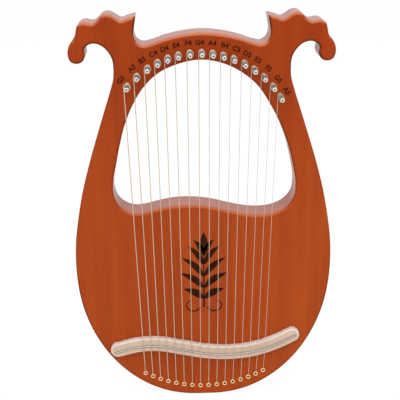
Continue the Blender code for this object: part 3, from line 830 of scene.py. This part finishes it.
def make_boards():
    holes = [circle_loop(pin, PIN_RIM_RADIUS, 40) for pin in PINS]
    holes += [circle_loop(hole, EYELET_SEAT_RADIUS, 16) for hole in EYELETS]
    # Painted shade on the face board's edges that face down, and a painted highlight on those that face up
    rims = [(BODY, painted_edge_shading(BODY, 1.0)), (OPENING, painted_edge_shading(OPENING, 0.6))]
    make_board("face_board", "soundboard", rims, holes, CORE_FRONT, FRONT_Y, FACE_ROUNDING)
    sound_hole = circle_loop(SOUND_HOLE_CENTRE, SOUND_HOLE_RADIUS, 72)
    pockets = [circle_loop(hole, BALL_POCKET_RADIUS, 20) for hole in EYELETS]
    # The rear board's rims take an even painted shade along their edges.
    rims = [(loop, even(loop, 0.8)) for loop in (BODY, OPENING, sound_hole)]
    make_board("rear_board", "back_board", rims, pockets, CORE_BACK, BACK_Y, BACK_ROUNDING)


def make_core():
    """The wood between the boards, sawn into the same five pieces as the solids."""
    pin_holes = [(circle_loop(pin, PIN_HOLE_RADIUS, 20), 1.0) for pin in PINS]
    string_holes = [(circle_loop(hole, STRING_HOLE_RADIUS, 12), 1.0) for hole in EYELETS]
    cavity = [(cavity_loop(BODY, OPENING), 1.0)]
    ends = [("z", YOKE_JOINT_HEIGHT, False), ("z", TAIL_BLOCK_HEIGHT, True)]
    bar_ends = [("x", WINDOW_BAR_END, False), ("x", -WINDOW_BAR_END, True)]
    cuts = {
        "yoke_block": (pin_holes, [("z", YOKE_JOINT_HEIGHT, True)]),
        "left_side": (cavity, ends + [("x", -WINDOW_BAR_END, False)]),
        "right_side": (cavity, ends + [("x", WINDOW_BAR_END, True)]),
        "window_bar": (cavity, ends + bar_ends),
        "tail_block": (string_holes, [("z", TAIL_BLOCK_HEIGHT, False)]),
    }
    for node, (holes, saws) in cuts.items():
        bm = slab([(BODY, 0.0), (OPENING, 0.0)] + holes, CORE_FRONT, CORE_BACK)
        for axis, level, above in saws:
            keep_side(bm, axis, level, above)
        unfinished = bm.verts.layers.float[UNFINISHED]
        for face in bm.faces:
            if all(vert[unfinished] > 0.5 for vert in face.verts):
                face.material_index = 1
        finished(node + "_wood", bm, [SIDES, BARE], nodes=[node])


def make_bridge():
    """The pale S-shaped bar, the groove along it and the saddle wire in the groove."""
    line = smooth(metres(BRIDGE_LINE), BRIDGE_STEPS, closed=False)
    saddle = beside(line, -SADDLE_OFFSET)
    rod = [p.copy() for p in saddle]
    reach = BRIDGE_WIDTH / 2 - SADDLE_END_MARGIN
    rod[0] += (rod[0] - rod[1]).normalized() * reach
    rod[-1] += (rod[-1] - rod[-2]).normalized() * reach
    glued_at = FRONT_Y - GLUE_LINE
    bar, groove = band_loop(line, BRIDGE_WIDTH), band_loop(rod, 2 * (SADDLE_RADIUS + GROOVE_GAP), 8)
    bm = bmesh.new()
    rim = outline(bm, groove, BRIDGE_TOP)
    fill(bm, grow(bm, rim, groove, BRIDGE_TOP + GROOVE_DEPTH))
    # The groove's walls and floor take darker wood as painted shade.
    for face in bm.faces:
        face.material_index = 1
    # The bridge's edges take the painted highlight all round.
    fill(bm, round_over(bm, bar, glued_at, BRIDGE_TOP, BRIDGE_ROUNDING, even(bar, 1.0)) + rim)
    fill(bm, outline(bm, bar, glued_at))
    finished("bridge_bar", bm, [MAPLE, SHADED_GROOVE], nodes=["bridge"])

    axis_y = BRIDGE_TOP - SADDLE_PROUD + SADDLE_RADIUS
    bm = drawn_wire([Vector((p.x, axis_y, p.y)) for p in rod], [SADDLE_RADIUS] * len(rod))
    finished("saddle_rod", bm, [SADDLE], nodes=["saddle_wire"], angle=60)
    return saddle


# Metal

def make_eyelets():
    """Rolled brass rings with short barrels."""
    seat, bore, rim = FRONT_Y - EYELET_LIFT, EYELET_BORE_RADIUS, EYELET_RIM_RADIUS
    barrel_end = seat + EYELET_BARREL_LENGTH
    middle, half = (bore + rim) / 2, (rim - bore) / 2
    turns = [math.pi * k / 8 for k in range(9)]
    profile = [(bore, barrel_end)]
    profile += [(middle - half * math.cos(a), seat - EYELET_RISE * math.sin(a)) for a in turns]
    profile += [(EYELET_BARREL_RADIUS, seat), (EYELET_BARREL_RADIUS, barrel_end)]
    for k, centre in enumerate(EYELETS):
        label = f"{k + 1:02d}"
        bm = turned(profile + profile[:1], 28)
        # The barrel's faces behind the seat take the bore's painted shade.
        for face in bm.faces:
            if face.calc_center_median().y > seat + EYELET_SHADE_FROM:
                face.material_index = 1
        bmesh.ops.translate(bm, verts=bm.verts, vec=(centre.x, 0, centre.y))
        finished("eyelet_ring_" + label, bm, [GILT, SHADED_BORE], nodes=["eyelet_" + label], angle=50)


def pin_shape():
    """A turned shank with a squared, tapered head, which ends round with a drilled centre mark."""
    tip, root = FRONT_Y - PIN_PROUD, FRONT_Y + PIN_GRIP_DEPTH
    shoulder = tip + PIN_HEAD_LENGTH
    profile = [(0.0, root), (PIN_RADIUS - PIN_CHAMFER[0], root), (PIN_RADIUS, root - PIN_CHAMFER[1])]
    for y in (shoulder + PIN_SHOULDER, shoulder, shoulder - 2 * PIN_SHOULDER, (shoulder + tip) / 2):
        profile.append((PIN_RADIUS, y))
    profile += [(radius, tip + depth) for radius, depth in PIN_END_ROUNDING]
    for share, depth in PIN_MARK_SHAPE:
        profile.append((PIN_MARK_RADIUS * share, tip + depth))
    bm = turned(profile, 48)
    for face in bm.faces:
        centre = face.calc_center_median()
        if math.hypot(centre.x, centre.z) < PIN_MARK_RADIUS and centre.y < shoulder:
            face.material_index = 2
        elif centre.y > tip + PIN_BRIGHT_END:
            face.material_index = 1
    for vert in bm.verts:
        if vert.co.y < shoulder - PIN_SHOULDER:
            share = min(1, (shoulder - vert.co.y) / PIN_HEAD_LENGTH)
            half = PIN_HEAD_HALF[0] + (PIN_HEAD_HALF[1] - PIN_HEAD_HALF[0]) * share
            vert.co.x = max(-half, min(half, vert.co.x))
            vert.co.z = max(-half, min(half, vert.co.z))
    return bm


def make_pins():
    """The tuning pins, each with its squared head turned another way, as tuning leaves them."""
    for k, centre in enumerate(PINS):
        label = f"{k + 1:02d}"
        bm = pin_shape()
        turn = Matrix.Rotation(math.radians(PIN_TURN_DEGREES * k), 4, "Y")
        bmesh.ops.rotate(bm, verts=bm.verts, cent=(0, 0, 0), matrix=turn)
        bmesh.ops.translate(bm, verts=bm.verts, vec=(centre.x, 0, centre.y))
        finished(
            "turned_pin_" + label, bm, [NICKEL, SHANK, PIN_MARK_SHADE], body="pin_" + label,
            nodes=["tuning_pin_" + label], angle=35,
        )


# Strings

def winding(pin, start_angle, coil_radius, pitch, first_turn, last_turn):
    """Places along the winding, clockwise from where the string meets the pin and out towards the head."""
    count = round((last_turn - first_turn) * WINDING_STEPS)
    turns = [first_turn + (last_turn - first_turn) * k / count for k in range(count + 1)]
    places = []
    for turn in turns:
        angle = start_angle - 2 * math.pi * turn
        place = pin + Vector((math.cos(angle), math.sin(angle))) * coil_radius
        places.append(Vector((place.x, FRONT_Y - WINDING_BASE - pitch * turn, place.y)))
    return places


def string_run(pin, eyelet, saddle, radius, coil_radius, pitch):
    """From the ball, through the eyelet and over the saddle wire to half a turn round the pin."""
    away = pin - eyelet
    heading = Matrix.Rotation(math.asin(coil_radius / away.length), 2) @ away.normalized()
    touch = eyelet + heading * math.sqrt(away.length**2 - coil_radius**2)
    over = line_crossing(eyelet, touch, saddle)
    lean, bend = EYELET_BORE_RADIUS - radius, RIM_BEND_RADIUS
    rim_y, over_y = FRONT_Y - RIM_BEND_LIFT, BRIDGE_TOP - SADDLE_PROUD - radius
    path = [(eyelet, BALL_CENTRE_Y)]
    for share, depth in HOLE_LEAN:
        path.append((eyelet + heading * lean * share, FRONT_Y + depth))
    for k in range(RIM_BEND_STEPS + 1):
        angle = math.radians(RIM_BEND_DEGREES) * k / RIM_BEND_STEPS
        reach = lean + bend * (1 - math.cos(angle))
        path.append((eyelet + heading * reach, rim_y - bend * math.sin(angle)))
    for degrees in SADDLE_BEND_DEGREES:
        angle = math.radians(degrees)
        arm = SADDLE_RADIUS + radius
        path.append((over + heading * arm * math.sin(angle), over_y + arm * (1 - math.cos(angle))))
    start_angle = math.atan2(touch.y - pin.y, touch.x - pin.x)
    places = [Vector((p.x, y, p.y)) for p, y in path]
    return places + winding(pin, start_angle, coil_radius, pitch, 0, RUN_TURNS), start_angle


def ball_end(hole):
    """A grooved brass ball end, as strings of this kind have."""
    profile = [(radius, -depth) for radius, depth in BALL_HALF] + list(reversed(BALL_HALF))
    bm = turned(profile + profile[:1], 24)
    bmesh.ops.translate(bm, verts=bm.verts, vec=(hole.x, BALL_CENTRE_Y, hole.y))
    return bm


def make_strings(saddle):
    """Each string's run from its ball end to the pin, and its coil, which rides on the pin."""
    last = len(PINS) - 1
    covered = round((RUN_TURNS - COIL_FROM_TURN) * WINDING_STEPS)
    for k, (pin, eyelet) in enumerate(zip(PINS, EYELETS)):
        label = f"{k + 1:02d}"
        radius = BASS_STRING_RADIUS + k / last * (TREBLE_STRING_RADIUS - BASS_STRING_RADIUS)
        coil_radius, pitch = PIN_RADIUS + PIN_CLEARANCE + radius, 2 * radius + WINDING_GAP
        run, start_angle = string_run(pin, eyelet, saddle, radius, coil_radius, pitch)
        bm = drawn_wire(run, [radius] * len(run))
        wire = WOUND_WIRE if k < WOUND_STRINGS else PLAIN_WIRE
        finished("string_run_" + label, bm, [wire], nodes=["string_" + label], angle=60)
        finished("string_ball_" + label, ball_end(eyelet), [GILT])

        turns = winding(pin, start_angle, coil_radius, pitch, COIL_FROM_TURN, WINDING_TURNS)
        radii = [radius * COIL_START_SHARE] * covered + [radius] * (len(turns) - covered)
        centre = Vector((pin.x, turns[-1].y - COIL_END_SLANT * pitch, pin.y))
        turns += [centre + (turns[-1] - centre) * share for share in COIL_END_SHARES]
        bm = drawn_wire(turns, radii + [radius] * len(COIL_END_SHARES))
        finished("string_coil_" + label, bm, [PLAIN_WIRE], body="pin_" + label, angle=60)


# Print

def make_note_names():
    """The note names over the pins, each turned to face the middle of the arc.

    They are drawn in millimetres. A bevel makes them bold, and they are then pressed almost flat.
    """
    bm = bmesh.new()
    for name, degrees in zip(NOTE_NAMES, NOTE_ARC_ANGLES):
        text = bpy.data.curves.new("note", "FONT")
        text.body = name
        text.size = NOTE_SIZE_MM
        text.bevel_depth = NOTE_BOLDNESS_MM
        text.bevel_resolution = 0
        text.align_x = "CENTER"
        text.align_y = "CENTER"
        letters = shape_of(text)
        centre = arc_place(NOTE_ARC_CENTRE, NOTE_ARC_RADIUS, degrees)
        turn = Matrix.Rotation(math.radians(degrees), 4, "Y") @ Matrix.Rotation(math.pi / 2, 4, "X")
        small = Matrix.Diagonal((0.001, 0.001, NOTE_HEIGHT / NOTE_BOLDNESS_MM, 1))
        place = Matrix.Translation((centre.x, FRONT_Y, centre.y)) @ turn @ small
        bmesh.ops.transform(letters, matrix=place, verts=letters.verts)
        join(bm, letters)
    finished("printed_note_names", bm, [INK])


def leaf_loop(root, lean_degrees, length, width, bow=0.0):
    """A pointed leaf from its root, leaning to one side and bowed."""
    lean = math.radians(lean_degrees)
    along = Vector((math.sin(lean), math.cos(lean)))
    side = Vector((-along.y, along.x))
    right, left = [], []
    for k in range(LEAF_STEPS + 1):
        t = k / LEAF_STEPS
        spine = root + along * length * t + side * bow * length * math.sin(math.pi * t) * 0.5
        half = width / 2 * math.sin(math.pi * t**0.8) ** 0.9
        right.append(spine - side * half)
        left.append(spine + side * half)
    return right + left[-2:0:-1]


def tapered_loop(line, thick, thin):
    """A line drawn with a pen that narrows from its start to its end."""
    count = len(line) - 1
    right, left = [], []
    for k, point in enumerate(line):
        along = (line[min(k + 1, count)] - line[max(k - 1, 0)]).normalized()
        side = Vector((-along.y, along.x)) * (thick + (thin - thick) * k / count) / 2
        right.append(point - side)
        left.append(point + side)
    return right + left[::-1]


def make_ornament():
    """A leafy sprig over two curls, printed in the middle of the face and the same on both sides."""
    stem = smooth([Vector((0, height)) for height in SPRIG_STEM], 10, closed=False)
    top, top_length, top_width = SPRIG_TOP_LEAF
    shapes = [tapered_loop(stem, *SPRIG_STEM_WIDTHS), leaf_loop(Vector((0, top)), 0, top_length, top_width)]
    for side in (-1, 1):
        for k, (height, lean, length) in enumerate(SPRIG_LEAVES):
            width = SPRIG_LEAF_WIDTH - SPRIG_LEAF_NARROWING * k
            shapes.append(leaf_loop(Vector((0, height)), lean * side, length, width, SPRIG_LEAF_BOW * side))
        curl = []
        for k in range(CURL_STEPS + 1):
            t = k / CURL_STEPS
            turn = math.radians(CURL_TURNS[0] + CURL_TURNS[1] * t)
            reach = CURL_REACH * (1 - CURL_TIGHTENING * t)
            x = side * (CURL_CENTRE[0] + reach * math.cos(turn))
            curl.append(Vector((x, CURL_CENTRE[1] + reach * math.sin(turn))))
        shapes.append(tapered_loop(curl, *CURL_WIDTHS))
    bm = bmesh.new()
    for loop in shapes:
        join(bm, slab([(loop, 0.0)], *PRINT_DEPTHS))
    finished("printed_sprig", bm, [INK])


def make_braces():
    """The bars inside the body keep their solids' own shape, in bare wood."""
    for node in ("upper_face_brace", "lower_face_brace", "back_brace"):
        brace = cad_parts[node]
        brace.data.materials.clear()
        brace.data.materials.append(BRACE)


# Studio

def looking(tree):
    """1 for what the camera sees, also in gloss and through glass, and 0 for light on the object."""
    rays = tree.nodes.new("ShaderNodeLightPath").outputs
    seen = calculated(tree, "MAXIMUM", rays["Is Camera Ray"], rays["Is Glossy Ray"])
    return calculated(tree, "MAXIMUM", seen, rays["Is Transmission Ray"])


def make_floor():
    """A pale floor that is seen almost white and still takes the lyre's shadow."""
    bm = bmesh.new()
    bmesh.ops.create_grid(bm, x_segments=1, y_segments=1, size=FLOOR_HALF_SIZE)
    bmesh.ops.translate(bm, verts=bm.verts, vec=(0, 0, -FLOOR_DROP))
    mesh = bpy.data.meshes.new("floor")
    bm.to_mesh(mesh)
    bm.free()
    floor = bpy.data.objects.new("floor", mesh)
    bpy.context.scene.collection.objects.link(floor)
    material, tree = new_material("pale floor", Base_Color=(0.88, 0.88, 0.88, 1), Roughness=0.9)[:2]
    glow = put(tree, "Emission", {"Color": (1, 1, 1, 1), "Strength": FLOOR_GLOW}).outputs[0]
    share = calculated(tree, "MULTIPLY", looking(tree), FLOOR_GLOW_SHARE)
    parts = {0: share, 1: tree.nodes["Principled BSDF"].outputs[0], 2: glow}
    blend = put(tree, "MixShader", parts).outputs[0]
    tree.links.new(blend, tree.nodes["Material Output"].inputs["Surface"])
    mesh.materials.append(material)


def make_light():
    """A white world, dimmer as a light than it looks, and four large softboxes."""
    world = bpy.data.worlds.new("studio")
    bpy.context.scene.world = world
    world.use_nodes = True
    tree = world.node_tree
    sky = tree.nodes["Background"].inputs
    sky["Color"].default_value = (1, 1, 1, 1)
    tree.links.new(between(tree, looking(tree), 0.0, 1.0, SKY_LIGHT, 1.0), sky["Strength"])
    for name, place, size, power in SOFTBOXES:
        lamp = bpy.data.lights.new(name, "AREA")
        lamp.energy = power
        lamp.size = size
        holder = bpy.data.objects.new(name, lamp)
        bpy.context.scene.collection.objects.link(holder)
        aim = Vector(SOFTBOX_AIM) - Vector(place)
        holder.matrix_world = Matrix.Translation(place) @ aim.to_track_quat("-Z", "Y").to_matrix().to_4x4()


def make_camera():
    """The photograph's view: almost square to the face and from a little above."""
    yaw, pitch, roll = CAMERA_YAW, CAMERA_PITCH, CAMERA_ROLL
    ahead = Vector((math.sin(yaw) * math.cos(pitch), math.cos(yaw) * math.cos(pitch), -math.sin(pitch)))
    right = Vector((math.cos(yaw), -math.sin(yaw), 0))
    down = ahead.cross(right)
    across = right * math.cos(roll) + down * math.sin(roll)
    below = down * math.cos(roll) - right * math.sin(roll)
    lens = bpy.data.cameras.new("camera")
    lens.sensor_width = CAMERA_SENSOR_MM
    lens.lens = CAMERA_LENS_MM
    lens.clip_start = 0.01
    holder = bpy.data.objects.new("camera", lens)
    bpy.context.scene.collection.objects.link(holder)
    turn = Matrix((across, -below, -ahead)).transposed().to_4x4()
    holder.matrix_world = Matrix.Translation(CAMERA_PLACE) @ turn
    bpy.context.scene.camera = holder


make_camera()
make_floor()
make_light()
make_boards()
make_core()
make_strings(make_bridge())
make_pins()
make_eyelets()
make_note_names()
make_ornament()
make_braces()
bpy.context.scene.view_settings.view_transform = "Standard"
